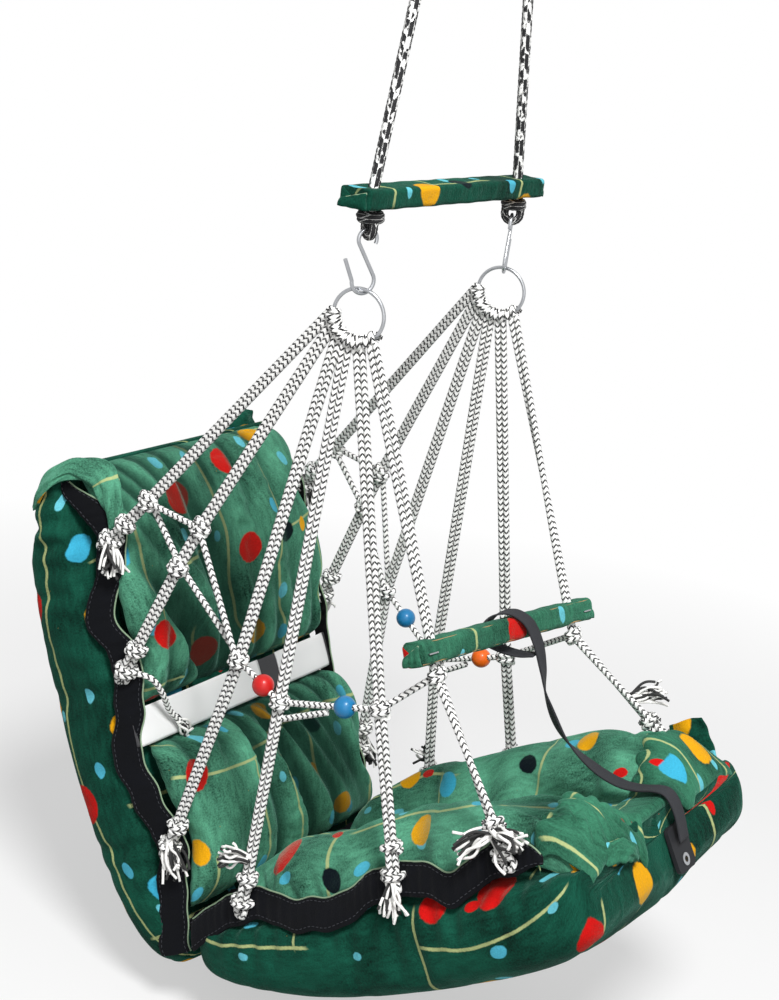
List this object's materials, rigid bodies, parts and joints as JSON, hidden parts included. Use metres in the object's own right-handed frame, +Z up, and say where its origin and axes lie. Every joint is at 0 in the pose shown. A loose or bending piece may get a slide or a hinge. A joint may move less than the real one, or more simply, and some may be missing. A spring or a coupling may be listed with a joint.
{
  "type": "padded swing seat",
  "caption": "Padded swing seat for a small child, with a reclined back and raised seat hung by a knotted cord net from rings, hooks, a spreader bar and ropes, and a sliding grab bar.",
  "frame": {"origin": "midway between the centres of the two rope eyes, on the line that they hang from", "axes": "+Z up, -Y to the front of the seat, +X to the child's left"},
  "size_m": [0.3838, 0.7061, 1.0456],
  "materials": {
    "printed_cloth": "short-pile green cloth with a print of coloured dots and pale lines",
    "black_cloth": "near-black woven binding",
    "strap_cloth": "black woven strap",
    "belt_webbing": "dark grey webbing",
    "panel_cloth": "plain white cloth",
    "net_cord": "white braided cord with a black fleck",
    "hanging_rope": "coarse black and white braid",
    "steel": "bright zinc-plated wire",
    "wood": "plain planed softwood",
    "red_gloss": "glossy red",
    "blue_gloss": "glossy blue",
    "orange_gloss": "glossy orange"
  },
  "bodies": {
    "rope_eyes": {"rope_eye_left": "hanging_rope", "rope_eye_right": "hanging_rope"},
    "hanger": {"top_knot_left": "hanging_rope", "top_knot_right": "hanging_rope", "hanging_rope_left": "hanging_rope", "hanging_rope_right": "hanging_rope", "spreader_slat": "wood", "spreader_cover": "printed_cloth", "stop_knot_left": "hanging_rope", "stop_knot_right": "hanging_rope"},
    "hook_left": {"s_hook_left": "steel"},
    "hook_right": {"s_hook_right": "steel"},
    "seat": {"ring_left": "steel", "ring_right": "steel", "ring_hitches_left": "net_cord", "ring_hitches_right": "net_cord", "back_top_cord_left": "net_cord", "back_top_cord_right": "net_cord", "back_middle_cord_left": "net_cord", "back_middle_cord_right": "net_cord", "back_low_cord_left": "net_cord", "back_low_cord_right": "net_cord", "seat_rear_cord_left": "net_cord", "seat_rear_cord_right": "net_cord", "seat_middle_cord_left": "net_cord", "seat_middle_cord_right": "net_cord", "seat_front_cord_left": "net_cord", "seat_front_cord_right": "net_cord", "net_links_left": "net_cord", "net_links_right": "net_cord", "net_knots_left": "net_cord", "net_knots_right": "net_cord", "tie_knots_left": "net_cord", "tie_knots_right": "net_cord", "tassels_left": "net_cord", "tassels_right": "net_cord", "back_shell": "printed_cloth", "seat_shell": "printed_cloth", "fold_seam": "black_cloth", "back_upper_cushion": "printed_cloth", "back_lower_cushion": "printed_cloth", "seat_cushion": "printed_cloth", "back_binding_left": "black_cloth", "back_binding_right": "black_cloth", "seat_binding_left": "black_cloth", "seat_binding_right": "black_cloth", "waist_belt": "belt_webbing", "belt_panels": "panel_cloth", "corner_tabs": "printed_cloth", "safety_strap": "strap_cloth", "strap_tab": "strap_cloth", "strap_eyelet": "steel"},
    "grab_bar": {"grab_bar_core": "wood", "grab_bar_sleeve": "printed_cloth", "grab_bar_staples": "steel"},
    "bead_red": {"red_bead": "red_gloss"},
    "bead_blue_right": {"blue_bead_right": "blue_gloss"},
    "bead_blue_left": {"blue_bead_left": "blue_gloss"},
    "bead_orange": {"orange_bead": "orange_gloss"}
  },
  "joints": [
    {"name": "swing", "type": "hinge", "parent": "rope_eyes", "child": "hanger", "pos_m": [0, 0, -0.0315], "axis": [1, 0, 0], "range_deg": [-30, 30]},
    {"name": "hook_rock_left", "type": "hinge", "parent": "hanger", "child": "hook_left", "pos_m": [0.1225, 0, -0.2529], "axis": [1, 0, 0], "range_deg": [-15, 15]},
    {"name": "hook_rock_right", "type": "hinge", "parent": "hanger", "child": "hook_right", "pos_m": [-0.1225, 0, -0.2529], "axis": [1, 0, 0], "range_deg": [-15, 15]},
    {"name": "seat_rock", "type": "hinge", "parent": "hook_left", "child": "seat", "pos_m": [0.1225, 0, -0.3099], "axis": [1, 0, 0], "range_deg": [-20, 20]},
    {"name": "grab_bar_slide", "type": "slide", "parent": "seat", "child": "grab_bar", "axis": [0, 0.3758, 0.9267], "range_m": [0, 0.06], "deforming": ["safety_strap"]},
    {"name": "red_bead_spin", "type": "hinge", "parent": "seat", "child": "bead_red", "pos_m": [-0.1534, 0.0358, -0.69], "axis": [0.0173, -0.9011, -0.4332], "continuous": true},
    {"name": "blue_bead_right_spin", "type": "hinge", "parent": "seat", "child": "bead_blue_right", "pos_m": [-0.1497, -0.05562, -0.6802], "axis": [0.045, -0.9619, 0.2697], "continuous": true},
    {"name": "blue_bead_left_spin", "type": "hinge", "parent": "seat", "child": "bead_blue_left", "pos_m": [0.1536, 0.0764, -0.7152], "axis": [-0.0106, -0.787, -0.6168], "continuous": true},
    {"name": "orange_bead_spin", "type": "hinge", "parent": "seat", "child": "bead_orange", "pos_m": [0.15102, -0.02542, -0.7269], "axis": [-0.032, -0.9273, 0.373], "continuous": true}
  ],
  "couplings": [
    {"joint": "hook_rock_right", "follows": "hook_rock_left", "ratio": 1}
  ]
}
